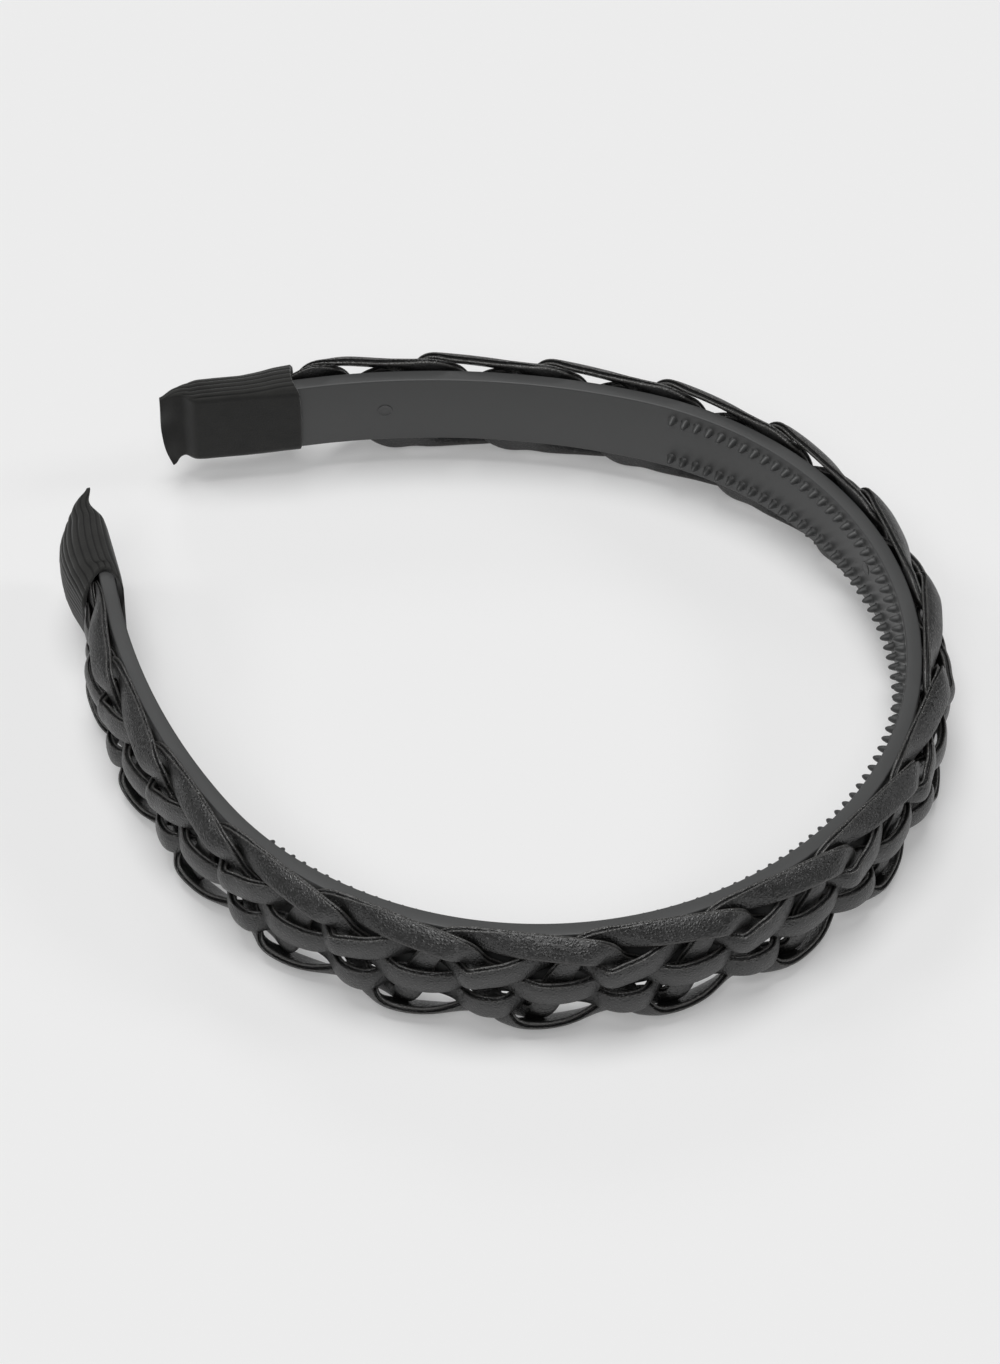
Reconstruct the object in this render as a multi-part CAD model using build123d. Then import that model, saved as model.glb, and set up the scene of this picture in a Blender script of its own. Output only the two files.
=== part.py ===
from build123d import *
import os
from math import cos, degrees, floor, pi, radians, sin

os.makedirs("parts", exist_ok=True)

# Woven headband lying on its side edge: +Z is the width of the band, the ring lies in
# the XY plane, its crown points to +X and its two ends to -X. Millimetres.

# Ring: inner face of the plastic band, a crown arc and a flatter arc on each arm
crown_radius = 61.2
crown_half_angle = radians(109)
arm_radius = 123.0
end_shift = 3.5                # band middle from the crown middle, along the inner face

# Plastic band
band_thickness = 2.6
band_width = 14.0
band_chamfer = 0.3
band_half_length = 187.0       # band middle to band end, along the inner face
band_rise = 1.9                # band middle above the middle of the plait

# Comb teeth moulded on the inner face
tooth_pitch = 2.35
tooth_reach = 1.8
tooth_length = 1.6             # along the band's width
tooth_width = 1.5              # along the ring
tooth_top_share = 0.34         # tip size over root size
tooth_root = 0.3               # sunk into the band
teeth_half_run = 109.0
teeth_shift = 1.7              # middle of the rows from the crown middle
tooth_row_spread = 9.2
tooth_sides = 6

# Round mould marks on the inner face
mark_diameter = 2.6
mark_height = 0.2
mark_places = (161.0, 63.5, -150.0)   # along the inner face from the crown middle

# Plait of six folded strips
plait_width = 24.6
plait_pitch = 20.2
plait_phase = -66.6            # a leaf tip, along the inner face from the crown middle
strip_width = 5.4
strip_thickness = 1.5
strip_bevel = 0.5
strip_gap = 0.2                # between crossing strips
seat_gap = 0.15                # between band and inner strips

# End sleeves
sleeve_mouth = 172.6           # band middle to sleeve mouth
sleeve_length = 22.4
sleeve_wall = 0.9
sleeve_depth = 9.0             # across the band's thickness, where it is fullest
sleeve_height = 16.6           # along the band's width, at the mouth
sleeve_inner_wall_gap = 0.2    # between band and sleeve
sleeve_flange_height = 18.6
sleeve_flange_thickness = 1.9
sleeve_flange_out = 2.8        # flange middle outside the band's inner face
sleeve_hollow_share = 0.74     # share of the length that is hollow
sleeve_corner_share = 0.30     # corner radius over the section's thickness
sleeve_hollow_corner = 0.7     # corner radius of the hollow
strip_tuck = 3.0               # strip ends inside the sleeve
gather_run = 20.0              # the plait narrows over this run before the sleeve
gather_height_share = 0.64
gather_depth_share = 0.60
gather_width_share = 0.52

band_middle = plait_width / 2 + band_rise
band_low = band_middle - band_width / 2
layer_step = strip_thickness + strip_gap
first_layer = band_thickness + seat_gap + strip_thickness / 2
crown_run = crown_radius * crown_half_angle
arm_centre = (crown_radius - arm_radius) * cos(crown_half_angle), (crown_radius - arm_radius) * sin(crown_half_angle)
strip_end = sleeve_mouth + strip_tuck

# One pitch of a lengthwise strip. pitch: place along the pitch; height: share of the
# plait's width; layer: 0 on the band, 1 over one strip, 2 over two; roll: degrees, top
# edge inwards; width: share of the strip's width.
upper_core_rows = [
    # pitch, height, layer, roll, width
    (0.50, 0.682, 0.00, 0, 0.72),
    (0.69, 0.650, 0.00, 0, 0.65),
    (0.82, 0.640, 1.05, 0, 0.54),
    (0.92, 0.624, 2.37, 0, 0.72),
    (1.05, 0.635, 2.15, 0, 0.80),
    (1.20, 0.664, 1.90, 0, 0.81),
    (1.36, 0.690, 1.05, 0, 0.80),
]
lower_core_rows = [
    (0.38, 0.365, 0.00, 0, 0.76),
    (0.60, 0.352, 0.00, 0, 0.76),
    (0.80, 0.333, 0.22, 0, 0.74),
    (0.92, 0.330, 1.35, 0, 0.75),
    (1.03, 0.342, 2.07, 0, 0.80),
    (1.18, 0.360, 2.12, 0, 0.77),
    (1.28, 0.364, 0.80, 0, 0.69),
]
# Four pitches of a braiding strip, in the same columns
braid_rows = [
    # rising across the plait
    (0.02, 0.195, -0.35, 0, 0.71),
    (0.22, 0.183, -0.40, 0, 0.69),
    (0.36, 0.198, 0.35, 0, 0.72),
    (0.44, 0.268, 1.10, 0, 0.78),
    (0.50, 0.375, 1.10, 0, 0.83),
    (0.56, 0.515, 0.85, 0, 0.82),
    (0.62, 0.665, 1.20, 0, 0.71),
    (0.68, 0.750, 1.00, 0, 0.66),
    (0.73, 0.800, 0.30, 0, 0.70),
    # leaf along the top edge
    (0.80, 0.840, 0.08, 0, 0.64),
    (0.90, 0.850, 0.00, 0, 0.70),
    (1.04, 0.850, 0.15, 14, 0.72),
    (1.28, 0.860, 0.65, 38, 0.78),
    (1.54, 0.858, 1.10, 42, 0.80),
    (1.70, 0.850, 1.42, 40, 0.80),
    (1.80, 0.838, 1.60, 28, 0.80),
    # dive behind the upper core strip
    (1.88, 0.812, 1.50, 12, 0.80),
    (1.93, 0.765, 1.18, 4, 0.77),
    (1.98, 0.695, 0.97, 0, 0.71),
    (2.04, 0.625, 0.70, 0, 0.78),
    (2.15, 0.552, 0.45, 0, 0.76),
    # bulge over the middle
    (2.30, 0.512, 1.35, 0, 0.71),
    (2.42, 0.498, 2.05, 0, 0.80),
    (2.58, 0.494, 2.10, 0, 0.80),
    (2.75, 0.497, 1.70, 0, 0.76),
    # dive behind the lower core strip
    (2.88, 0.492, 0.75, 0, 0.70),
    (2.97, 0.445, 0.20, 0, 0.76),
    (3.05, 0.345, 0.30, 0, 0.76),
    (3.14, 0.243, 1.05, -6, 0.73),
    # loop along the bottom edge, rolled under the band
    (3.25, 0.165, 1.60, -30, 0.76),
    (3.40, 0.132, 1.50, -44, 0.78),
    (3.64, 0.138, 1.05, -44, 0.78),
    (3.86, 0.170, 0.25, -20, 0.74),
]
braid_period = 4

# Sleeve sections from mouth to tip. length: share of the sleeve's length; thickness and
# height: 1 where it is fullest, 0 at the sewn flange; centring: 0 keeps the inner side
# straight along the band, 1 puts the section on the flange's line
sleeve_rows = [
    # length, thickness, height, centring
    (0.00, 0.89, 1.00, 0.0),
    (0.22, 0.98, 1.00, 0.0),
    (0.42, 1.00, 1.00, 0.0),
    (0.60, 0.86, 0.98, 0.0),
    (0.72, 0.60, 0.93, 0.1),
    (0.81, 0.24, 0.75, 0.5),
    (0.88, 0.04, 0.50, 0.9),
    (1.00, 0.00, 0.00, 1.0),
]


def ring_point(run):
    """Point on the inner face and outward direction at a run from the crown middle."""
    side = 1 if run >= 0 else -1
    run = abs(run)
    if run <= crown_run:
        angle = run / crown_radius
        x, y = crown_radius * cos(angle), crown_radius * sin(angle)
    else:
        angle = crown_half_angle + (run - crown_run) / arm_radius
        x = arm_centre[0] + arm_radius * cos(angle)
        y = arm_centre[1] + arm_radius * sin(angle)
    return Vector(x, side * y, 0), Vector(cos(angle), side * sin(angle), 0)


def smooth_row(rows, period, place):
    """Row of a periodic table at a fractional row number, by a Catmull-Rom curve."""
    first = floor(place)
    x = place - first
    near = []
    for k in (first - 1, first, first + 1, first + 2):
        row = list(rows[k % len(rows)])
        row[0] += period * (k // len(rows))
        near.append(row)
    return [
        0.5 * (2 * b + (c - a) * x + (2 * a - 5 * b + 4 * c - d) * x**2 + (3 * b - a - 3 * c + d) * x**3)
        for a, b, c, d in zip(*near)
    ]


def gathered(run):
    """1 along the plait, falling to 0 at the sleeve's mouth."""
    share = min(max((sleeve_mouth - abs(run - end_shift)) / gather_run, 0), 1)
    return share * share * (3 - 2 * share)


def strip_station(row, shift):
    """Centre, outward direction, roll, width and thickness of a strip at a table row."""
    pitch, height, layer, roll, width = row
    run = plait_phase + plait_pitch * (pitch + shift)
    free = gathered(run)
    deep = gather_depth_share + (1 - gather_depth_share) * free
    tall = gather_height_share + (1 - gather_height_share) * free
    wide = gather_width_share + (1 - gather_width_share) * free
    if layer < 0:              # inwards of the band's outer face, only where it is clear below the band
        layer *= max(0, 2 * free - 1)
    middle = plait_width / 2 + band_rise * (1 - free)
    z = middle + (height - 0.5) * plait_width * tall
    seat = band_thickness + seat_gap
    out = seat + (first_layer + layer * layer_step - seat) * deep
    point, outward = ring_point(run)
    centre = point + outward * out + Vector(0, 0, z)
    return centre, outward, radians(roll), width * strip_width * wide, strip_thickness * deep


def strip_section(rows, period, shift, place):
    """Six corners of a strip's section at a fractional row number."""
    centre, outward, roll, width, thickness = strip_station(smooth_row(rows, period, place), shift)
    step = 0.02
    before = strip_station(smooth_row(rows, period, place - step), shift)[0]
    after = strip_station(smooth_row(rows, period, place + step), shift)[0]
    along = (after - before).normalized()
    across = outward.cross(along).normalized()
    face = along.cross(across)
    wide = across * cos(roll) - face * sin(roll)
    thick = face * cos(roll) + across * sin(roll)
    half_width, half_thickness = width / 2, thickness / 2
    shoulder = half_width - min(strip_bevel, half_width / 2)
    corners = [
        (-half_width, 0),
        (-shoulder, -half_thickness),
        (shoulder, -half_thickness),
        (half_width, 0),
        (shoulder, half_thickness),
        (-shoulder, half_thickness),
    ]
    return [centre + wide * a + thick * b for a, b in corners]


def strip_run(rows, period, shift, place):
    return plait_phase + plait_pitch * (smooth_row(rows, period, place)[0] + shift)


def place_at(rows, period, shift, run, low, high):
    """Fractional row number where a strip reaches a run, by halving."""
    for _ in range(40):
        middle = (low + high) / 2
        if strip_run(rows, period, shift, middle) < run:
            low = middle
        else:
            high = middle
    return middle


def triangle(a, b, c):
    return Face(Wire.make_polygon([a, b, c]))


def faceted_solid(sections):
    """Solid through sections of equal corner count, closed at both ends."""
    faces = []
    count = len(sections[0])
    for first, second in zip(sections, sections[1:]):
        for k in range(count):
            n = (k + 1) % count
            faces.append(triangle(first[k], second[k], first[n]))
            faces.append(triangle(first[n], second[k], second[n]))
    faces.append(Face(Wire.make_polygon(sections[0])))
    faces.append(Face(Wire.make_polygon(sections[-1])))
    return Solid(Shell(faces))


def strip_solid(rows, period, shift):
    span = 2 * len(rows) * (strip_end / plait_pitch + period) / period
    start = place_at(rows, period, shift, end_shift - strip_end, -span, 0)
    stop = place_at(rows, period, shift, end_shift + strip_end, 0, span)
    least = 0.3                # no section nearer than this to an end, in rows
    places = [k for k in range(floor(start), floor(stop) + 2) if start + least < k < stop - least]
    return faceted_solid([strip_section(rows, period, shift, p) for p in [start, *places, stop]])


def ring_edges(out):
    """Arcs of the ring from end to end of the band, at a distance outside the inner face."""
    half = degrees(crown_half_angle)
    first = degrees((band_half_length - end_shift - crown_run) / arm_radius)
    last = degrees((band_half_length + end_shift - crown_run) / arm_radius)
    x, y = arm_centre
    return [
        CenterArc((x, -y), arm_radius + out, -half - first, first),
        CenterArc((0, 0), crown_radius + out, -half, 2 * half),
        CenterArc((x, y), arm_radius + out, half, last),
    ]


def tooth(run, z):
    """Blunt comb tooth that points into the ring."""
    point, outward = ring_point(run)
    along = Vector(-outward.Y, outward.X, 0)
    sections = []
    for out, share in ((tooth_root, 1.0), (-tooth_reach, tooth_top_share)):
        middle = point + outward * out + Vector(0, 0, z)
        corners = []
        for k in range(tooth_sides):
            angle = 2 * pi * k / tooth_sides
            side = along * (cos(angle) * tooth_width / 2 * share)
            corners.append(middle + side + Vector(0, 0, sin(angle) * tooth_length / 2 * share))
        sections.append(corners)
    return Solid.make_loft([Wire.make_polygon(c) for c in sections], ruled=True)


def mould_mark(run):
    point, outward = ring_point(run)
    depth = mark_height + tooth_root
    plane = Plane(origin=point + outward * tooth_root + Vector(0, 0, band_middle), z_dir=-outward)
    return plane * Cylinder(mark_diameter / 2, depth, align=(Align.CENTER, Align.CENTER, Align.MIN))


def plastic_band():
    inner = ring_edges(0)
    outer = ring_edges(band_thickness)
    ends = [Line(inner[0] @ 0, outer[0] @ 0), Line(inner[2] @ 1, outer[2] @ 1)]
    outline = make_face([*inner, *outer, *ends])
    band = extrude(Pos(0, 0, band_low) * outline, band_width)
    rims = [
        edge
        for edge in band.edges().filter_by(GeomType.CIRCLE)
        if min(abs(edge.radius - crown_radius), abs(edge.radius - arm_radius)) < 0.01
    ]
    band = chamfer(rims, band_chamfer)
    teeth_each_way = floor(teeth_half_run / tooth_pitch)
    extras = [mould_mark(run) for run in mark_places]
    for k in range(-teeth_each_way, teeth_each_way + 1):
        for side in (-1, 1):
            extras.append(tooth(teeth_shift + k * tooth_pitch, band_middle + side * tooth_row_spread / 2))
    return band.fuse(*extras)


def sleeve_plane(side, share, depth, centring):
    """Section plane across an arm, X outwards and Y up."""
    point, outward = ring_point(end_shift + side * (sleeve_mouth + share * sleeve_length))
    straight = depth / 2 - sleeve_inner_wall_gap - sleeve_wall
    out = straight + (sleeve_flange_out - straight) * centring
    origin = point + outward * out + Vector(0, 0, band_middle)
    return Plane(origin=origin, x_dir=outward, z_dir=outward.cross(Vector(0, 0, 1)))


def sleeve_loft(side, inset, last_share):
    """Sleeve form, shrunk by a wall thickness, from the mouth to a share of its length."""
    faces = []
    for share, thick, tall, centring in sleeve_rows:
        if share > last_share:
            break
        depth = sleeve_flange_thickness + (sleeve_depth - sleeve_flange_thickness) * thick
        height = sleeve_flange_height + (sleeve_height - sleeve_flange_height) * tall
        plane = sleeve_plane(side, share, depth, centring)
        corner = sleeve_hollow_corner if inset else sleeve_corner_share * depth
        faces.append(plane * RectangleRounded(depth - 2 * inset, height - 2 * inset, corner))
    return loft(faces, ruled=True)


def end_sleeve(side):
    body = sleeve_loft(side, 0, 1.0)
    hollow = sleeve_loft(side, sleeve_wall, sleeve_hollow_share)
    return body - hollow


def build():
    """Every node, its origin at the bottom centre of the whole headband's box."""
    nodes = {
        "plastic_band": plastic_band(),
        "core_strip_upper": strip_solid(upper_core_rows, 1, 0),
        "core_strip_lower": strip_solid(lower_core_rows, 1, 0),
        "end_sleeve_left": end_sleeve(-1),
        "end_sleeve_right": end_sleeve(1),
    }
    for k in range(braid_period):
        nodes[f"braid_strip_{k + 1}"] = strip_solid(braid_rows, braid_period, k)
    boxes = [node.bounding_box() for node in nodes.values()]
    low = [min(getattr(box.min, axis) for box in boxes) for axis in "XYZ"]
    high = [max(getattr(box.max, axis) for box in boxes) for axis in "XYZ"]
    to_origin = Pos(-(low[0] + high[0]) / 2, -(low[1] + high[1]) / 2, -low[2])
    return {name: to_origin * node.solid() for name, node in nodes.items()}


for name, solid in build().items():
    solid.label = name
    export_step(solid, f"parts/{name}.step")
    box = solid.bounding_box()
    print(f"{name}: {solid.volume:.0f} mm3, box {box.min} to {box.max}")
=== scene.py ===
import bpy
import numpy as np
from math import cos, floor, pi, radians, sin
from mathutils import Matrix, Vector


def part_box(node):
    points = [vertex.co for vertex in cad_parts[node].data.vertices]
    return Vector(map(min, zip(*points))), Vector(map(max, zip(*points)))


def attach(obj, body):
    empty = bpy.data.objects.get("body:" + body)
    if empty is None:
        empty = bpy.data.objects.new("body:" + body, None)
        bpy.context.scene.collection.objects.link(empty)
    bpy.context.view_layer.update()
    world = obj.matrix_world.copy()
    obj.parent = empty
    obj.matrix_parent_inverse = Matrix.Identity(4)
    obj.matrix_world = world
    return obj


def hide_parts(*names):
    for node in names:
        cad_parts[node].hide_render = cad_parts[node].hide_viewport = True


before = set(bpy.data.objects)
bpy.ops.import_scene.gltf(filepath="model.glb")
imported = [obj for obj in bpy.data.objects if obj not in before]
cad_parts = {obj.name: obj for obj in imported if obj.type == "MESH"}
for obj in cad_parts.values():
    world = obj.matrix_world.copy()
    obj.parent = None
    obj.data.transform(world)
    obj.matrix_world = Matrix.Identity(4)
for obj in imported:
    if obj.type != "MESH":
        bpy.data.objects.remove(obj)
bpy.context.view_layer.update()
mm = 0.001
print("frame loaded:", len(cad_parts), "nodes")

# the ring: a crown arc, then a flatter arc on each arm; runs are measured along the inner face,
# those of the plait, the teeth and the marks from the crown middle and the others from the band's middle
ring = {
    "crownRadius": 61.2 * mm,
    "crownHalfAngle": radians(109),
    "armRadius": 123.0 * mm,
    "endShift": 3.5 * mm,       # band middle from the crown middle
}
band = {
    "thickness": 2.6 * mm,
    "width": 14.0 * mm,
    "low": 7.2 * mm,            # lower edge above the bottom of the plait
    "halfLength": 187.0 * mm,
    "edgeRound": 0.27 * mm,
    "cornerSteps": 4,
    "step": 1.0 * mm,
}
teeth = {
    "pitch": 2.35 * mm,
    "reach": 1.8 * mm,
    "length": 1.6 * mm,         # along the band's width
    "width": 1.5 * mm,
    "halfRun": 109.0 * mm,
    "shift": 1.7 * mm,          # middle of the rows from the crown middle
    "rowSpread": 9.2 * mm,
    "sides": 14,
}
mouldMarks = {
    "runs": [161.0 * mm, 63.5 * mm, -150.0 * mm],
    "radius": 1.3 * mm,
    "height": 0.11 * mm,
    "sides": 32,
}
plait = {
    "width": 24.6 * mm,
    "pitch": 20.2 * mm,
    "phase": -66.6 * mm,        # a leaf tip, from the crown middle
    "stripWidth": 5.4 * mm,
    "stripThickness": 1.5 * mm,
    "stripGap": 0.2 * mm,
    "seatGap": 0.15 * mm,
    "flatRun": 10.0 * mm,       # before each sleeve's mouth the plait grows flatter over this run
    "flatShare": 0.47,
    "liftRun": 18.0 * mm,       # and its lower edge rises over this one
    "lift": 5.5 * mm,
    "sinkRun": 10.5 * mm,       # its upper edge sinks over this run before the strips' ends
    "sink": 4.2 * mm,
    "step": 0.55 * mm,          # between sections
    "slitHalf": 0.3,            # half the slit, through the folded section
    "rimFrom": 0.85,            # where the painted highlight along its edges starts, across
}
sleeve = {
    "mouth": 172.6 * mm,        # from the band's middle
    "leftLength": 23.2 * mm,
    "rightLength": 24.2 * mm,
    "wall": 0.9 * mm,
    "tuck": 6.5 * mm,           # strip ends inside the sleeve
    "hollow": 0.5,              # share of the length that is hollow
    "lipReach": 0.012,          # of the rounded lip, as a share of the length
    "ribs": 38,
    "ribDepth": 0.42 * mm,
    "leftArch": 4.2 * mm,       # how far the mouth's edge draws back over the plait
    "rightArch": 1.0 * mm,
    "rightSplay": 0.062,        # outward lean of the right end, per unit of length
    "archRun": 0.3,             # and over which share of the length
    "tightCorner": 0.20,        # corners of the section, in shares of its depth
    "wideCorner": 0.56,
    "halfHeight": 8.3 * mm,
    "blur": 0.03,               # softens the tables of sections, in shares of the length
    "drawnAt": 0.68,            # where the cloth is drawn together
    "drawnSpread": 0.14,
    "pinchFrom": 0.8,           # where the flat sewn end starts
    "bottomLean": 0.9 * mm,     # inwards, of the bottom of the left outer side
    "leftEndLean": 0.9 * mm,    # inwards, of the top of the left sewn end
    "rightEndLean": 0.5 * mm,   # inwards, of the bottom of the right one
    "bottomSlant": 1.7 * mm,    # the sewn end's lower part reaches less far
    "endWave": 0.28 * mm,
    "flatShade": 0.62,          # painted shade on the cloth over the band's inner face
    "around": 304,
    "along": 90,
    "legPoints": 24,            # of each straight side, before they are spaced evenly
    "cornerPoints": 16,
}

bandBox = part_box("plastic_band")
toPart = np.array([
    bandBox[1].x - ring["crownRadius"] - band["thickness"],
    (bandBox[0].y + bandBox[1].y) / 2,
    bandBox[0].z - band["low"],
])
bandMiddle = band["low"] + band["width"] / 2
crownRun = ring["crownRadius"] * ring["crownHalfAngle"]

# pitch: place along the pitch; height: share of the plait's width; layer: 0 on the band, 1 over
# one strip, 2 over two; roll: degrees, top edge inwards; width: share of the strip's width
upperCoreRows = [
    # pitch, height, layer, roll, width
    (0.50, 0.682, 0.00, 0, 0.72),
    (0.69, 0.650, 0.00, 0, 0.65),
    (0.82, 0.640, 1.05, 0, 0.54),
    (0.92, 0.624, 2.37, 0, 0.72),
    (1.05, 0.635, 2.15, 0, 0.80),
    (1.20, 0.664, 1.90, 0, 0.81),
    (1.36, 0.690, 1.05, 0, 0.80),
]
lowerCoreRows = [
    (0.38, 0.365, 0.00, 0, 0.76),
    (0.60, 0.352, 0.00, 0, 0.76),
    (0.80, 0.333, 0.22, 0, 0.74),
    (0.92, 0.330, 1.35, 0, 0.75),
    (1.03, 0.342, 2.07, 0, 0.80),
    (1.18, 0.360, 2.12, 0, 0.77),
    (1.28, 0.364, 0.80, 0, 0.69),
]
braidRows = [
    # rising across the plait
    (0.02, 0.195, -0.35, 0, 0.71),
    (0.22, 0.183, -0.40, 0, 0.69),
    (0.36, 0.198, 0.35, 0, 0.72),
    (0.44, 0.268, 1.10, 0, 0.78),
    (0.50, 0.375, 1.10, 0, 0.83),
    (0.56, 0.515, 0.85, 0, 0.82),
    (0.62, 0.665, 1.20, 0, 0.71),
    (0.68, 0.750, 1.00, 0, 0.66),
    (0.73, 0.800, 0.30, 0, 0.70),
    # leaf along the top edge
    (0.80, 0.840, 0.08, 0, 0.64),
    (0.90, 0.850, 0.00, 0, 0.70),
    (1.04, 0.850, 0.15, 14, 0.72),
    (1.28, 0.860, 0.65, 38, 0.78),
    (1.54, 0.858, 1.10, 42, 0.80),
    (1.70, 0.850, 1.42, 40, 0.80),
    (1.80, 0.838, 1.60, 28, 0.80),
    # dive behind the upper core strip
    (1.88, 0.812, 1.50, 12, 0.80),
    (1.93, 0.765, 1.18, 4, 0.77),
    (1.98, 0.695, 0.97, 0, 0.71),
    (2.04, 0.625, 0.70, 0, 0.78),
    (2.15, 0.552, 0.45, 0, 0.76),
    # bulge over the middle
    (2.30, 0.512, 1.35, 0, 0.71),
    (2.42, 0.498, 2.05, 0, 0.80),
    (2.58, 0.494, 2.10, 0, 0.80),
    (2.75, 0.497, 1.70, 0, 0.76),
    # dive behind the lower core strip
    (2.88, 0.492, 0.75, 0, 0.70),
    (2.97, 0.445, 0.20, 0, 0.76),
    (3.05, 0.345, 0.30, 0, 0.76),
    (3.14, 0.243, 1.05, -6, 0.73),
    # loop along the bottom edge, rolled under the band
    (3.25, 0.170, 1.55, -38, 0.76),
    (3.40, 0.146, 1.34, -56, 0.80),
    (3.64, 0.152, 0.89, -56, 0.80),
    (3.86, 0.174, 0.20, -32, 0.76),
]

# a blunt comb tooth, flared at its root
toothProfile = [
    # share of the reach, share of the width
    (-0.10, 1.30),
    (0.00, 1.22),
    (0.06, 1.04),
    (0.14, 0.94),
    (0.32, 0.86),
    (0.52, 0.75),
    (0.70, 0.62),
    (0.84, 0.47),
    (0.93, 0.32),
    (0.985, 0.15),
]
# a round mould mark with a raised rim
markProfile = [
    # share of the height, share of the radius
    (-0.05, 1.00),
    (0.90, 1.00),
    (1.00, 0.94),
    (1.00, 0.86),
    (0.45, 0.80),
    (0.40, 0.40),
]

# section of a strip folded lengthwise: the fold is its lower edge, and the two layers' edges
# meet at the top with a slit between them; shares of half the width and half the thickness
foldedProfile = [
    # across, through
    (-1.000, 0.00),
    (-0.975, 0.34),
    (-0.915, 0.62),
    (-0.820, 0.78),
    (-0.660, 0.91),
    (-0.400, 1.05),
    (-0.050, 1.14),
    (0.300, 1.12),
    (0.580, 1.00),
    (0.740, 0.86),
    (0.840, 0.76),
    (0.930, 0.72),
    (0.985, 0.52),
    (0.960, 0.34),
    (0.880, 0.20),
    (0.740, 0.06),
    (0.740, -0.08),
    (0.890, -0.18),
    (0.990, -0.34),
    (1.010, -0.60),
    (0.950, -0.84),
    (0.800, -0.95),
    (0.300, -1.03),
    (-0.300, -1.03),
    (-0.780, -0.88),
    (-0.920, -0.62),
    (-0.980, -0.34),
]

# sleeve sections in millimetres: inner and outer side from the band's inner face, lower and
# upper side from the band's middle; the left one is full, the right one has sunk onto the band
leftSleeveRows = [
    # share of the length, inner, outer, low, high
    (0.00, -1.1, 6.1, -7.8, 7.9),
    (0.12, -1.1, 6.9, -8.0, 8.1),
    (0.26, -0.9, 7.9, -8.1, 8.3),
    (0.40, -0.7, 8.5, -8.1, 8.3),
    (0.52, -0.5, 8.5, -8.1, 8.3),
    (0.64, -0.3, 8.0, -8.1, 8.2),
    (0.75, 0.1, 6.9, -8.1, 8.1),
    (0.82, 1.3, 5.9, -8.2, 8.1),
    (0.86, 2.2, 5.3, -8.3, 8.3),
    (0.92, 2.7, 4.9, -8.3, 8.5),
    (1.00, 2.6, 3.1, -7.9, 8.6),
]
rightSleeveRows = [
    (0.00, -1.1, 8.9, -7.6, 7.9),
    (0.13, -1.1, 8.3, -7.6, 7.9),
    (0.26, -1.1, 7.1, -7.6, 7.9),
    (0.39, -1.1, 6.3, -7.6, 7.9),
    (0.58, -1.1, 6.3, -7.6, 7.9),
    (0.72, -1.1, 6.2, -7.6, 7.9),
    (0.78, -0.8, 5.4, -7.6, 7.7),
    (0.82, 1.0, 4.5, -7.6, 7.4),
    (0.90, 0.9, 3.3, -7.8, 7.4),
    (1.00, -0.4, 0.7, -8.3, 7.4),
]


def ringPoint(run):
    side = 1 if run >= 0 else -1
    # inside the sleeves the band's ends run on straight
    curved = min(abs(run), sleeve["mouth"] + side * ring["endShift"])
    straight = abs(run) - curved
    if curved <= crownRun:
        angle = curved / ring["crownRadius"]
        x = ring["crownRadius"] * cos(angle)
        y = ring["crownRadius"] * sin(angle)
    else:
        half = ring["crownHalfAngle"]
        angle = half + (curved - crownRun) / ring["armRadius"]
        shift = ring["crownRadius"] - ring["armRadius"]
        x = shift * cos(half) + ring["armRadius"] * cos(angle)
        y = shift * sin(half) + ring["armRadius"] * sin(angle)
    splay = sleeve["rightSplay"] if side > 0 else 0.0
    x += straight * (splay * cos(angle) - sin(angle))
    y += straight * (splay * sin(angle) + cos(angle))
    point = np.array([x, side * y, 0.0]) + toPart
    outward = np.array([cos(angle), side * sin(angle), 0.0])
    return point, outward


def smoothStep(x):
    x = min(max(x, 0.0), 1.0)
    return x * x * (3 - 2 * x)


def loftFaces(rings, count, closeStart=True):
    faces = []
    for i in range(rings - 1):
        for k in range(count):
            n = (k + 1) % count
            faces.append((i * count + k, (i + 1) * count + k, (i + 1) * count + n, i * count + n))
    if closeStart:
        faces.append(tuple(range(count)))
    faces.append(tuple(reversed(range((rings - 1) * count, rings * count))))
    return faces


def addPiece(name, points, faces, material, node, attributes=None):
    mesh = bpy.data.meshes.new(name)
    mesh.from_pydata([tuple(p) for p in points], [], faces)
    mesh.validate()
    for label, values in (attributes or {}).items():
        layer = mesh.attributes.new(label, "FLOAT", "POINT")
        layer.data.foreach_set("value", np.array(values, np.float32))
    mesh.materials.append(material)
    mesh.shade_smooth()
    piece = bpy.data.objects.new(name, mesh)
    bpy.context.scene.collection.objects.link(piece)
    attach(piece, "root")
    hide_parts(node)
    return piece


def smoothRow(rows, period, place):
    # a smooth curve through the rows of a table, which start again one period further on
    first = floor(place)
    x = place - first
    near = []
    for k in (first - 1, first, first + 1, first + 2):
        row = list(rows[k % len(rows)])
        row[0] += period * (k // len(rows))
        near.append(row)
    return [
        0.5 * (2 * b + (c - a) * x + (2 * a - 5 * b + 4 * c - d) * x**2 + (3 * b - a - 3 * c + d) * x**3)
        for a, b, c, d in zip(*near)
    ]


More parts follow.
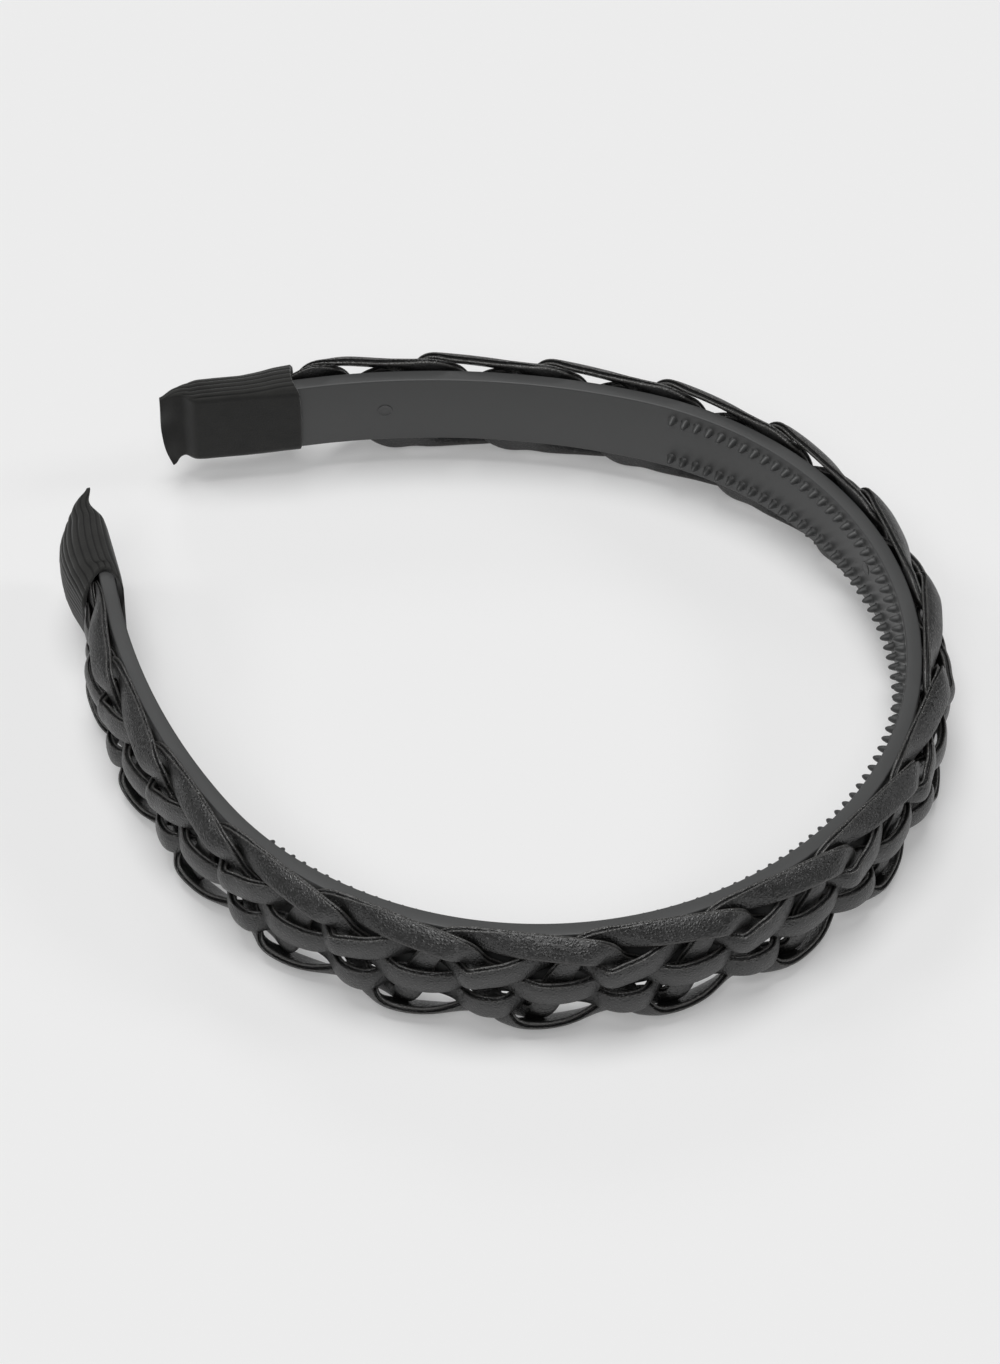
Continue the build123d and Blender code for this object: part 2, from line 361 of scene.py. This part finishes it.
def stripStation(row, shift):
    pitch, height, layer, roll, width = row
    run = plait["phase"] + plait["pitch"] * (pitch + shift)
    toMouth = sleeve["mouth"] - abs(run - ring["endShift"])
    flat = 1 - smoothStep(toMouth / plait["flatRun"])
    low = plait["lift"] * (1 - smoothStep(toMouth / plait["liftRun"]))
    sunk = 1 - smoothStep((toMouth + sleeve["tuck"]) / plait["sinkRun"])
    high = plait["width"] - plait["sink"] * sunk
    deep = 1 - plait["flatShare"] * flat
    wide = ((high - low) / plait["width"]) ** 0.6
    if layer < 0:
        layer *= max(0, 1 - 2 * flat)
    z = low + height * (high - low)
    seat = band["thickness"] + plait["seatGap"]
    step = plait["stripThickness"] + plait["stripGap"]
    out = seat + (plait["stripThickness"] / 2 + layer * step) * deep
    point, outward = ringPoint(run)
    centre = point + outward * out + np.array([0.0, 0.0, z])
    size = (width * plait["stripWidth"] * wide, plait["stripThickness"] * deep)
    return centre, outward, radians(roll), *size


def stripPlaces(rows, period, shift):
    # places in the table, evenly spaced along the strip's own length
    stripEnd = sleeve["mouth"] + sleeve["tuck"]
    span = 2 * len(rows) * (stripEnd / plait["pitch"] + period) / period
    places = np.arange(-span, span, 0.1)
    pitches = np.array([smoothRow(rows, period, p)[0] + shift for p in places])
    runs = plait["phase"] + plait["pitch"] * pitches
    start = np.interp(ring["endShift"] - stripEnd, runs, places)
    stop = np.interp(ring["endShift"] + stripEnd, runs, places)
    places = np.linspace(start, stop, int((stop - start) * 10))
    line = np.array([stripStation(smoothRow(rows, period, p), shift)[0] for p in places])
    length = np.concatenate([[0], np.cumsum(np.linalg.norm(np.diff(line, axis=0), axis=1))])
    even = np.linspace(0, length[-1], int(length[-1] / plait["step"]))
    return np.interp(even, length, places)


def softened(values, reach):
    # running mean over a few sections, with the ends kept
    kernel = np.hanning(2 * reach + 3)[1:-1]
    kernel /= kernel.sum()
    padded = np.concatenate([np.repeat(values[:1], reach, 0), values, np.repeat(values[-1:], reach, 0)])
    return sum(w * padded[i:i + len(values)] for i, w in enumerate(kernel))


def foldedStrip(name, node, rows, period, shift, material):
    stations = [stripStation(smoothRow(rows, period, p), shift) for p in stripPlaces(rows, period, shift)]
    centres = softened(np.array([s[0] for s in stations]), 2)
    outwards = np.array([s[1] for s in stations])
    shape = softened(np.array([s[2:] for s in stations]), 2)
    alongs = np.gradient(centres, axis=0)
    alongs /= np.linalg.norm(alongs, axis=1)[:, None]
    acrosses = np.cross(outwards, alongs)
    acrosses /= np.linalg.norm(acrosses, axis=1)[:, None]
    acrosses = softened(acrosses, 3)
    acrosses /= np.linalg.norm(acrosses, axis=1)[:, None]
    throughs = np.cross(alongs, acrosses)
    points = []
    rims = []
    folds = []
    for i, (centre, across, through) in enumerate(zip(centres, acrosses, throughs)):
        roll, width, thickness = shape[i]
        wide = across * cos(roll) - through * sin(roll)
        thick = through * cos(roll) + across * sin(roll)
        for a, t in foldedProfile:
            points.append(centre + wide * (a * width / 2) + thick * (t * thickness / 2))
            # rimShare: where the painted highlight on the edges falls, and -1 in the slit for its painted
            # shade
            inSlit = abs(t) < plait["slitHalf"] and a > 0
            rims.append(-1.0 if inSlit else max(0.0, a - plait["rimFrom"]) / (1 - plait["rimFrom"]))
            # mask for the painted warm reflection along the fold
            folds.append(max(0.0, -a))
    faces = loftFaces(len(stations), len(foldedProfile))
    return addPiece(name, points, faces, material, node, {"rimShare": rims, "foldShare": folds})


def sleeveOutline(inner, outer, low, high, count):
    # points and outward normals evenly round a section, from the middle of its inner side;
    # the corners on the band's side are tight and the others wide
    tight = sleeve["tightCorner"] * (outer - inner)
    wide = sleeve["wideCorner"] * (outer - inner)
    middle = (low + high) / 2
    legs = [
        ((-1, 0), (inner, middle), (inner, high - tight)),
        (pi, tight, (inner + tight, high - tight)),
        ((0, 1), (inner + tight, high), (outer - wide, high)),
        (pi / 2, wide, (outer - wide, high - wide)),
        ((1, 0), (outer, high - wide), (outer, low + wide)),
        (0.0, wide, (outer - wide, low + wide)),
        ((0, -1), (outer - wide, low), (inner + tight, low)),
        (-pi / 2, tight, (inner + tight, low + tight)),
        ((-1, 0), (inner, low + tight), (inner, middle)),
    ]
    line = []
    for first, second, third in legs:
        if isinstance(first, tuple):
            for share in np.linspace(0, 1, sleeve["legPoints"]):
                line.append((*(np.array(second) * (1 - share) + np.array(third) * share), *first))
        else:
            for angle in np.linspace(first, first - pi / 2, sleeve["cornerPoints"]):
                facing = (cos(angle), sin(angle))
                line.append((third[0] + second * facing[0], third[1] + second * facing[1], *facing))
    line = np.array(line)
    length = np.concatenate([[0], np.cumsum(np.hypot(*np.diff(line[:, :2], axis=0).T))])
    length += np.linspace(0, 1e-9, len(length))
    even = np.linspace(0, length[-1], count, endpoint=False)
    return np.array([np.interp(even, length, line[:, k]) for k in range(4)]).T


def sleeveSection(side, share, inset):
    rows = np.array(leftSleeveRows if side < 0 else rightSleeveRows)
    nearby = share + np.linspace(-sleeve["blur"], sleeve["blur"], 9)
    inner, outer, low, high = [mm * np.mean(np.interp(nearby, rows[:, 0], rows[:, k])) for k in range(1, 5)]
    section = sleeveOutline(inner + inset, outer - inset, low + inset, high - inset, sleeve["around"])
    around = np.arange(sleeve["around"]) / sleeve["around"]
    facesOut = np.clip((section[:, 2] + 0.92) / 0.3, 0, 1)      # 0 on the inner face, 1 elsewhere
    pinch = smoothStep((share - sleeve["pinchFrom"]) / (1 - sleeve["pinchFrom"]))
    ribs = np.ones(sleeve["around"])
    if inset == 0:
        # broad rounded ribs with narrow valleys, deepest where the cloth is drawn together
        ribs = np.abs(np.sin(pi * sleeve["ribs"] * around + 0.5 * np.sin(2 * pi * around * 5))) ** 0.5
        drawnIn = np.exp(-((share - sleeve["drawnAt"]) / sleeve["drawnSpread"]) ** 2)
        gather = 0.6 + 0.6 * drawnIn - 0.75 * pinch
        section[:, :2] += section[:, 2:] * ((ribs - 1) * sleeve["ribDepth"] * gather * facesOut)[:, None]
    arch, length = sleeve["rightArch"], sleeve["rightLength"]
    if side < 0:
        arch, length = sleeve["leftArch"], sleeve["leftLength"]
    points = []
    for x, z, _, _ in section:
        height = z / sleeve["halfHeight"]
        top, bottom = max(0, height), max(0, -height)
        across = (2 * x - inner - outer) / (outer - inner)
        crown = max(0, 1 - across**2) * (1 - 0.6 * across)
        crown *= smoothStep(2 * top - 0.6) + 0.4 * smoothStep(2 * bottom - 0.6)
        drawn = arch * crown * (1 - smoothStep(share / sleeve["archRun"]))
        if side < 0:
            lean = sleeve["leftEndLean"] * top**2 * pinch
            lean += sleeve["bottomLean"] * bottom * (1 - pinch) * (1 + across) / 2
        else:
            lean = sleeve["rightEndLean"] * bottom**3 * pinch
        wave = sleeve["endWave"] * sin(6 * height + side) * pinch
        run = sleeve["mouth"] + share * length + drawn - sleeve["bottomSlant"] * bottom**2 * pinch
        point, outward = ringPoint(ring["endShift"] + side * run)
        points.append(point + outward * (x + wave - lean) + np.array([0.0, 0.0, bandMiddle + z]))
    # painted shade: the cloth is darkened in the rib valleys and over the band's inner face
    return points, np.maximum((1 - ribs**2) * facesOut, sleeve["flatShade"] * (1 - facesOut))


def endSleeve(name, node, side, material):
    outer = [sleeveSection(side, s, 0) for s in np.linspace(0, 1, sleeve["along"])]
    inside = np.linspace(sleeve["hollow"], 0, sleeve["along"] // 4)
    inner = [sleeveSection(side, s, sleeve["wall"]) for s in inside]
    lip = [sleeveSection(side, -sleeve["lipReach"], sleeve["wall"] * k) for k in (0.75, 0.4)]
    rings = inner + lip + outer
    points = [p for ringPoints, _ in rings for p in ringPoints]
    shadeShares = [v for _, ringShades in rings for v in ringShades]
    faces = loftFaces(len(rings), sleeve["around"])
    if side < 0:
        faces = [tuple(reversed(f)) for f in faces]
    return addPiece(name, points, faces, material, node, {"clothShadeShare": shadeShares})


def bandSection():
    # rounded rectangle of the band, across the thickness and the width
    corner = band["edgeRound"]
    profile = []
    for cx, cz, first in ((1, 1, 0), (0, 1, 1), (0, 0, 2), (1, 0, 3)):
        middle = (
            corner + cx * (band["thickness"] - 2 * corner),
            corner + cz * (band["width"] - 2 * corner),
        )
        for k in range(band["cornerSteps"] + 1):
            angle = (first + k / band["cornerSteps"]) * pi / 2
            profile.append((middle[0] + corner * cos(angle), middle[1] + corner * sin(angle)))
    return profile


def plasticBand(material):
    profile = bandSection()
    count = int(2 * band["halfLength"] / band["step"]) + 1
    points = []
    for run in np.linspace(-band["halfLength"], band["halfLength"], count):
        point, outward = ringPoint(ring["endShift"] + run)
        for out, z in profile:
            points.append(point + outward * out + np.array([0.0, 0.0, band["low"] + z]))
    faces = loftFaces(count, len(profile))
    eachWay = floor(teeth["halfRun"] / teeth["pitch"])
    for k in range(-eachWay, eachWay + 1):
        for row in (-1, 1):
            run = teeth["shift"] + k * teeth["pitch"]
            addTooth(points, faces, run, bandMiddle + row * teeth["rowSpread"] / 2)
    for run in mouldMarks["runs"]:
        addMark(points, faces, run)
    return addPiece("plasticBand", points, faces, material, "plastic_band")


def addTooth(points, faces, run, z):
    point, outward = ringPoint(run)
    along = np.array([-outward[1], outward[0], 0.0])
    start = len(points)
    sides = teeth["sides"]
    for reach, size in toothProfile:
        middle = point - outward * reach * teeth["reach"] + np.array([0.0, 0.0, z])
        for k in range(sides):
            angle = 2 * pi * k / sides
            offset = along * (cos(angle) * teeth["width"] / 2 * size)
            points.append(middle + offset + np.array([0.0, 0.0, sin(angle) * teeth["length"] / 2 * size]))
    for face in loftFaces(len(toothProfile), sides, closeStart=False):
        faces.append(tuple(start + i for i in face))


def addMark(points, faces, run):
    point, outward = ringPoint(run)
    along = np.array([-outward[1], outward[0], 0.0])
    start = len(points)
    sides = mouldMarks["sides"]
    for height, size in markProfile:
        middle = point - outward * height * mouldMarks["height"] + np.array([0.0, 0.0, bandMiddle])
        for k in range(sides):
            angle = 2 * pi * k / sides
            offset = along * cos(angle) + np.array([0.0, 0.0, sin(angle)])
            points.append(middle + offset * mouldMarks["radius"] * size)
    for face in loftFaces(len(markProfile), sides, closeStart=False):
        faces.append(tuple(start + i for i in face))


def newGroup(name, inputs, outputs):
    group = bpy.data.node_groups.new(name, "ShaderNodeTree")
    for label, default in inputs:
        socket = group.interface.new_socket(label, in_out="INPUT", socket_type="NodeSocketFloat")
        socket.default_value = default
    for label in outputs:
        group.interface.new_socket(label, in_out="OUTPUT", socket_type="NodeSocketFloat")
    source = group.nodes.new("NodeGroupInput")
    target = group.nodes.new("NodeGroupOutput")
    return group, source, target


def mathNode(nodes, links, operation, first, second=None, third=None):
    node = nodes.new("ShaderNodeMath")
    node.operation = operation
    for k, value in enumerate((first, second, third)):
        if value is None:
            continue
        if isinstance(value, (int, float)):
            node.inputs[k].default_value = value
        else:
            links.new(value, node.inputs[k])
    return node.outputs[0]


grainShape = {
    "warpPerMetre": 900,
    "warpReach": 0.5 * mm,
    "finePerMetre": 5200,
}


def pebbleGrain():
    # raised rounded cells with fine creases between them, as on embossed leather
    inputs = [("cellsPerMetre", 2400), ("creaseWidth", 0.18), ("softness", 0.5)]
    group, source, target = newGroup("pebbleGrain", inputs, ["height", "crease"])
    nodes, links = group.nodes, group.links
    place = nodes.new("ShaderNodeTexCoord")
    warp = nodes.new("ShaderNodeTexNoise")
    warp.inputs["Scale"].default_value = grainShape["warpPerMetre"]
    warp.inputs["Detail"].default_value = 2
    links.new(place.outputs["Object"], warp.inputs["Vector"])
    nudge = nodes.new("ShaderNodeVectorMath")
    nudge.operation = "MULTIPLY_ADD"
    links.new(warp.outputs["Color"], nudge.inputs[0])
    nudge.inputs[1].default_value = (grainShape["warpReach"],) * 3
    links.new(place.outputs["Object"], nudge.inputs[2])
    cells = nodes.new("ShaderNodeTexVoronoi")
    cells.feature = "DISTANCE_TO_EDGE"
    links.new(nudge.outputs[0], cells.inputs["Vector"])
    links.new(source.outputs["cellsPerMetre"], cells.inputs["Scale"])
    rise = nodes.new("ShaderNodeMapRange")
    rise.interpolation_type = "SMOOTHSTEP"
    links.new(cells.outputs["Distance"], rise.inputs["Value"])
    links.new(source.outputs["creaseWidth"], rise.inputs["From Max"])
    crease = mathNode(nodes, links, "SUBTRACT", 1.0, rise.outputs[0])
    fine = nodes.new("ShaderNodeTexNoise")
    fine.inputs["Scale"].default_value = grainShape["finePerMetre"]
    fine.inputs["Detail"].default_value = 3
    links.new(place.outputs["Object"], fine.inputs["Vector"])
    softness = source.outputs["softness"]
    height = mathNode(nodes, links, "MULTIPLY_ADD", fine.outputs["Fac"], softness, rise.outputs[0])
    links.new(height, target.inputs["height"])
    links.new(crease, target.inputs["crease"])
    return group


def surfaceDrift():
    # slow change over the surface, for colour and gloss
    group, source, target = newGroup("surfaceDrift", [("perMetre", 90), ("contrast", 1.0)], ["drift"])
    nodes, links = group.nodes, group.links
    place = nodes.new("ShaderNodeTexCoord")
    cloud = nodes.new("ShaderNodeTexNoise")
    cloud.inputs["Detail"].default_value = 4
    cloud.inputs["Roughness"].default_value = 0.55
    links.new(place.outputs["Object"], cloud.inputs["Vector"])
    links.new(source.outputs["perMetre"], cloud.inputs["Scale"])
    centred = mathNode(nodes, links, "SUBTRACT", cloud.outputs["Fac"], 0.5)
    spread = mathNode(nodes, links, "MULTIPLY_ADD", centred, source.outputs["contrast"], 0.5)
    links.new(spread, target.inputs["drift"])
    return group


grainGroup = pebbleGrain()
driftGroup = surfaceDrift()


def placeGroup(nodes, group, **values):
    node = nodes.new("ShaderNodeGroup")
    node.node_tree = group
    for label, value in values.items():
        node.inputs[label].default_value = value
    return node


def mapTo(nodes, links, value, low, high, fromLow=0.0, fromHigh=1.0):
    node = nodes.new("ShaderNodeMapRange")
    links.new(value, node.inputs["Value"])
    node.inputs["From Min"].default_value = fromLow
    node.inputs["From Max"].default_value = fromHigh
    node.inputs["To Min"].default_value = low
    node.inputs["To Max"].default_value = high
    return node.outputs[0]


def mixColours(nodes, links, share, first, second):
    node = nodes.new("ShaderNodeMix")
    node.data_type = "RGBA"
    links.new(share, node.inputs["Factor"])
    for label, value in (("A", first), ("B", second)):
        socket = next(s for s in node.inputs if s.name == label and s.type == "RGBA")
        if isinstance(value, tuple):
            socket.default_value = (*value, 1.0)
        else:
            links.new(value, socket)
    return next(s for s in node.outputs if s.type == "RGBA")


def startMaterial(name, look):
    material = bpy.data.materials.new(name)
    material.use_nodes = True
    material.diffuse_color = (*look["colour"], 1.0)
    nodes, links = material.node_tree.nodes, material.node_tree.links
    shader = nodes["Principled BSDF"]
    shader.inputs["Specular IOR Level"].default_value = look["specular"]
    return material, nodes, links, shader


def foldedLeather(look):
    material, nodes, links, shader = startMaterial("foldedLeather", look)
    grain = placeGroup(
        nodes, grainGroup, cellsPerMetre=look["cellsPerMetre"], creaseWidth=look["creaseWidth"]
    )
    drift = placeGroup(nodes, driftGroup, perMetre=look["driftPerMetre"], contrast=look["driftContrast"])
    plain = mixColours(nodes, links, drift.outputs["drift"], look["colour"], look["lightColour"])
    # painted warm reflected light along the fold
    fold = nodes.new("ShaderNodeAttribute")
    fold.attribute_name = "foldShare"
    foldShare = mapTo(nodes, links, fold.outputs["Fac"], 0.0, 1.0, look["foldFrom"], 1.0)
    folded = mixColours(nodes, links, foldShare, plain, look["foldReflectionColour"])
    # painted highlight along the edges of the two layers
    rim = nodes.new("ShaderNodeAttribute")
    rim.attribute_name = "rimShare"
    rimShare = mapTo(nodes, links, rim.outputs["Fac"], 0.0, 1.0)
    rimmed = mixColours(nodes, links, rimShare, folded, look["rimHighlightColour"])
    # painted shade in the slit between the two layers
    slitShare = mapTo(nodes, links, rim.outputs["Fac"], 1.0, 0.0, -1.0, -0.2)
    slitted = mixColours(nodes, links, slitShare, rimmed, look["creaseShadeColour"])
    # painted shade in the grain's creases
    dark = mathNode(nodes, links, "MULTIPLY", grain.outputs["crease"], look["creaseShadeShare"])
    links.new(mixColours(nodes, links, dark, slitted, look["creaseShadeColour"]), shader.inputs["Base Color"])
    rough = mapTo(nodes, links, drift.outputs["drift"], look["roughLow"], look["roughHigh"], 0.2, 0.8)
    rougher = mathNode(nodes, links, "MULTIPLY_ADD", grain.outputs["crease"], look["creaseRough"], rough)
    links.new(rougher, shader.inputs["Roughness"])
    bump = nodes.new("ShaderNodeBump")
    bump.inputs["Strength"].default_value = look["grainStrength"]
    bump.inputs["Distance"].default_value = look["grainDepth"]
    links.new(grain.outputs["height"], bump.inputs["Height"])
    crumple = nodes.new("ShaderNodeBump")
    crumple.inputs["Strength"].default_value = look["crumpleStrength"]
    crumple.inputs["Distance"].default_value = look["crumpleDepth"]
    slow = placeGroup(nodes, driftGroup, perMetre=look["crumplePerMetre"], contrast=1.0)
    links.new(slow.outputs["drift"], crumple.inputs["Height"])
    links.new(crumple.outputs["Normal"], bump.inputs["Normal"])
    links.new(bump.outputs["Normal"], shader.inputs["Normal"])
    return material


def mouldedPlastic(look):
    material, nodes, links, shader = startMaterial("mouldedPlastic", look)
    drift = placeGroup(nodes, driftGroup, perMetre=look["driftPerMetre"], contrast=look["driftContrast"])
    plain = mixColours(nodes, links, drift.outputs["drift"], look["colour"], look["lightColour"])
    links.new(plain, shader.inputs["Base Color"])
    rough = mapTo(nodes, links, drift.outputs["drift"], look["roughLow"], look["roughHigh"], 0.2, 0.8)
    links.new(rough, shader.inputs["Roughness"])
    speckle = placeGroup(nodes, driftGroup, perMetre=look["specklePerMetre"], contrast=1.0)
    bump = nodes.new("ShaderNodeBump")
    bump.inputs["Strength"].default_value = look["speckleStrength"]
    bump.inputs["Distance"].default_value = look["speckleDepth"]
    links.new(speckle.outputs["drift"], bump.inputs["Height"])
    links.new(bump.outputs["Normal"], shader.inputs["Normal"])
    return material


def ribbedCloth(look):
    material, nodes, links, shader = startMaterial("ribbedCloth", look)
    shader.inputs["Sheen Weight"].default_value = look["sheen"]
    shader.inputs["Sheen Roughness"].default_value = look["sheenRough"]
    drift = placeGroup(nodes, driftGroup, perMetre=look["driftPerMetre"], contrast=look["driftContrast"])
    plain = mixColours(nodes, links, drift.outputs["drift"], look["colour"], look["lightColour"])
    # painted shade in the rib valleys and over the band's inner face
    valley = nodes.new("ShaderNodeAttribute")
    valley.attribute_name = "clothShadeShare"
    shadeShare = mapTo(nodes, links, valley.outputs["Fac"], 0.0, look["valleyShadeStrength"], 0.35, 0.95)
    shaded = mixColours(nodes, links, shadeShare, plain, look["valleyShadeColour"])
    links.new(shaded, shader.inputs["Base Color"])
    shader.inputs["Roughness"].default_value = look["rough"]
    fuzz = placeGroup(nodes, driftGroup, perMetre=look["fuzzPerMetre"], contrast=1.0)
    bump = nodes.new("ShaderNodeBump")
    bump.inputs["Strength"].default_value = look["fuzzStrength"]
    bump.inputs["Distance"].default_value = look["fuzzDepth"]
    links.new(fuzz.outputs["drift"], bump.inputs["Height"])
    links.new(bump.outputs["Normal"], shader.inputs["Normal"])
    return material


leatherLook = {
    "colour": (0.006, 0.006, 0.006),
    "lightColour": (0.011, 0.011, 0.0105),
    # painted warm reflected light along the fold
    "foldReflectionColour": (0.015, 0.011, 0.009),
    "rimHighlightColour": (0.070, 0.068, 0.064),     # painted highlight along the edges of the two layers
    # painted shade for the slit and the grain's creases
    "creaseShadeColour": (0.004, 0.004, 0.004),
    "creaseShadeShare": 0.5,
    "creaseRough": 0.15,                    # added to the roughness in the creases
    "foldFrom": 0.75,                       # where the painted warm reflection on the fold starts, 1 at the very fold
    "specular": 0.9,
    "roughLow": 0.24,
    "roughHigh": 0.34,
    "cellsPerMetre": 1800,
    "creaseWidth": 0.42,
    "grainStrength": 1.0,
    "grainDepth": 0.00006,
    "crumpleStrength": 0.25,
    "crumpleDepth": 0.0012,
    "crumplePerMetre": 260,
    "driftPerMetre": 60,
    "driftContrast": 1.6,
}
plasticLook = {
    "colour": (0.053, 0.054, 0.054),
    "lightColour": (0.064, 0.065, 0.065),
    "specular": 0.5,
    "roughLow": 0.42,
    "roughHigh": 0.50,
    "driftPerMetre": 40,
    "driftContrast": 1.2,
    "specklePerMetre": 3500,
    "speckleStrength": 0.15,
    "speckleDepth": 0.00003,
}
clothLook = {
    "colour": (0.020, 0.020, 0.019),
    "lightColour": (0.032, 0.032, 0.030),
    # painted shade in the rib valleys and over the band's inner face
    "valleyShadeColour": (0.003, 0.003, 0.003),
    "valleyShadeStrength": 0.85,
    "specular": 0.25,
    "rough": 0.85,
    "sheen": 0.25,
    "sheenRough": 0.5,
    "driftPerMetre": 300,
    "driftContrast": 1.6,
    "fuzzPerMetre": 3600,
    "fuzzStrength": 0.5,
    "fuzzDepth": 0.00010,
}

leather = foldedLeather(leatherLook)
plastic = mouldedPlastic(plasticLook)
cloth = ribbedCloth(clothLook)
print("materials made")

plasticBand(plastic)
print("band and comb teeth made")
foldedStrip("coreStripUpper", "core_strip_upper", upperCoreRows, 1, 0, leather)
foldedStrip("coreStripLower", "core_strip_lower", lowerCoreRows, 1, 0, leather)
for k in range(4):
    foldedStrip(f"braidStrip{k + 1}", f"braid_strip_{k + 1}", braidRows, 4, k, leather)
print("plait made")
endSleeve("endSleeveLeft", "end_sleeve_left", -1, cloth)
endSleeve("endSleeveRight", "end_sleeve_right", 1, cloth)
print("end sleeves made")


studio = {
    "floorSize": 6.0,
    "floorColour": (0.690, 0.690, 0.690),
    "floorRough": 0.9,
    "floorSpecular": 0.1,
    "floorGlow": 0.22,          # keeps the shadows on the paper pale
    "fillStrength": 0.05,       # even light from all round
    "backdrop": 0.83,           # what the camera sees beyond the floor
    "sensorMillimetres": 36.0,
    "lensMillimetres": 180.54,
    "aimFromRing": Vector((-9.505, 2.638, 3.767)) * mm,
    "fromAim": Vector((342.3, -474.5, 616.6)) * mm,
}
softLights = [
    # name, towards the light: right, back and up in the picture, spread in degrees, strength
    ("overheadLight", (-0.08, 0.11, 1.0), 33, 1.55),
    ("frontLight", (-0.10, -0.60, 0.80), 32, 0.80),
    ("rightLight", (0.95, 0.10, 0.60), 16, 0.34),
    ("leftLight", (-0.85, 0.15, 0.75), 18, 0.30),
    ("backLight", (-0.20, 0.95, 0.60), 15, 0.22),
]


def addFloor():
    half = studio["floorSize"] / 2
    mesh = bpy.data.meshes.new("studioFloor")
    corners = [(-half, -half, 0), (half, -half, 0), (half, half, 0), (-half, half, 0)]
    mesh.from_pydata(corners, [], [(0, 1, 2, 3)])
    material = bpy.data.materials.new("palePaper")
    material.use_nodes = True
    shader = material.node_tree.nodes["Principled BSDF"]
    shader.inputs["Base Color"].default_value = (*studio["floorColour"], 1.0)
    shader.inputs["Roughness"].default_value = studio["floorRough"]
    shader.inputs["Specular IOR Level"].default_value = studio["floorSpecular"]
    shader.inputs["Emission Color"].default_value = (1.0, 1.0, 1.0, 1.0)
    shader.inputs["Emission Strength"].default_value = studio["floorGlow"]
    mesh.materials.append(material)
    paper = bpy.data.objects.new("studioFloor", mesh)
    bpy.context.scene.collection.objects.link(paper)


def addSoftLight(name, towards, spread, strength):
    light = bpy.data.lights.new(name, "SUN")
    light.angle = radians(spread)
    light.energy = strength
    back = Vector((-studio["fromAim"].x, -studio["fromAim"].y, 0)).normalized()
    right = Vector((back.y, -back.x, 0))
    source = right * towards[0] + back * towards[1] + Vector((0, 0, towards[2]))
    lamp = bpy.data.objects.new(name, light)
    bpy.context.scene.collection.objects.link(lamp)
    lamp.location = source
    lamp.rotation_euler = (-source).to_track_quat("-Z", "Y").to_euler()


def addWorld():
    world = bpy.data.worlds.new("paleStudio")
    world.use_nodes = True
    nodes, links = world.node_tree.nodes, world.node_tree.links
    background = nodes["Background"]
    background.inputs["Color"].default_value = (1.0, 1.0, 1.0, 1.0)
    seen = nodes.new("ShaderNodeLightPath")
    isSeen = seen.outputs["Is Camera Ray"]
    strength = mapTo(nodes, links, isSeen, studio["fillStrength"], studio["backdrop"])
    links.new(strength, background.inputs["Strength"])
    bpy.context.scene.world = world


def addCamera():
    data = bpy.data.cameras.new("photoCamera")
    data.sensor_fit = "HORIZONTAL"
    data.sensor_width = studio["sensorMillimetres"]
    data.lens = studio["lensMillimetres"]
    data.clip_start = 0.01
    data.clip_end = 50.0
    camera = bpy.data.objects.new("photoCamera", data)
    bpy.context.scene.collection.objects.link(camera)
    aim = Vector(toPart) + studio["aimFromRing"]
    camera.location = aim + studio["fromAim"]
    camera.rotation_euler = (-studio["fromAim"]).to_track_quat("-Z", "Y").to_euler()
    bpy.context.scene.camera = camera


addFloor()
for light in softLights:
    addSoftLight(*light)
addWorld()
addCamera()
bpy.context.scene.view_settings.view_transform = "Standard"
print("studio set")
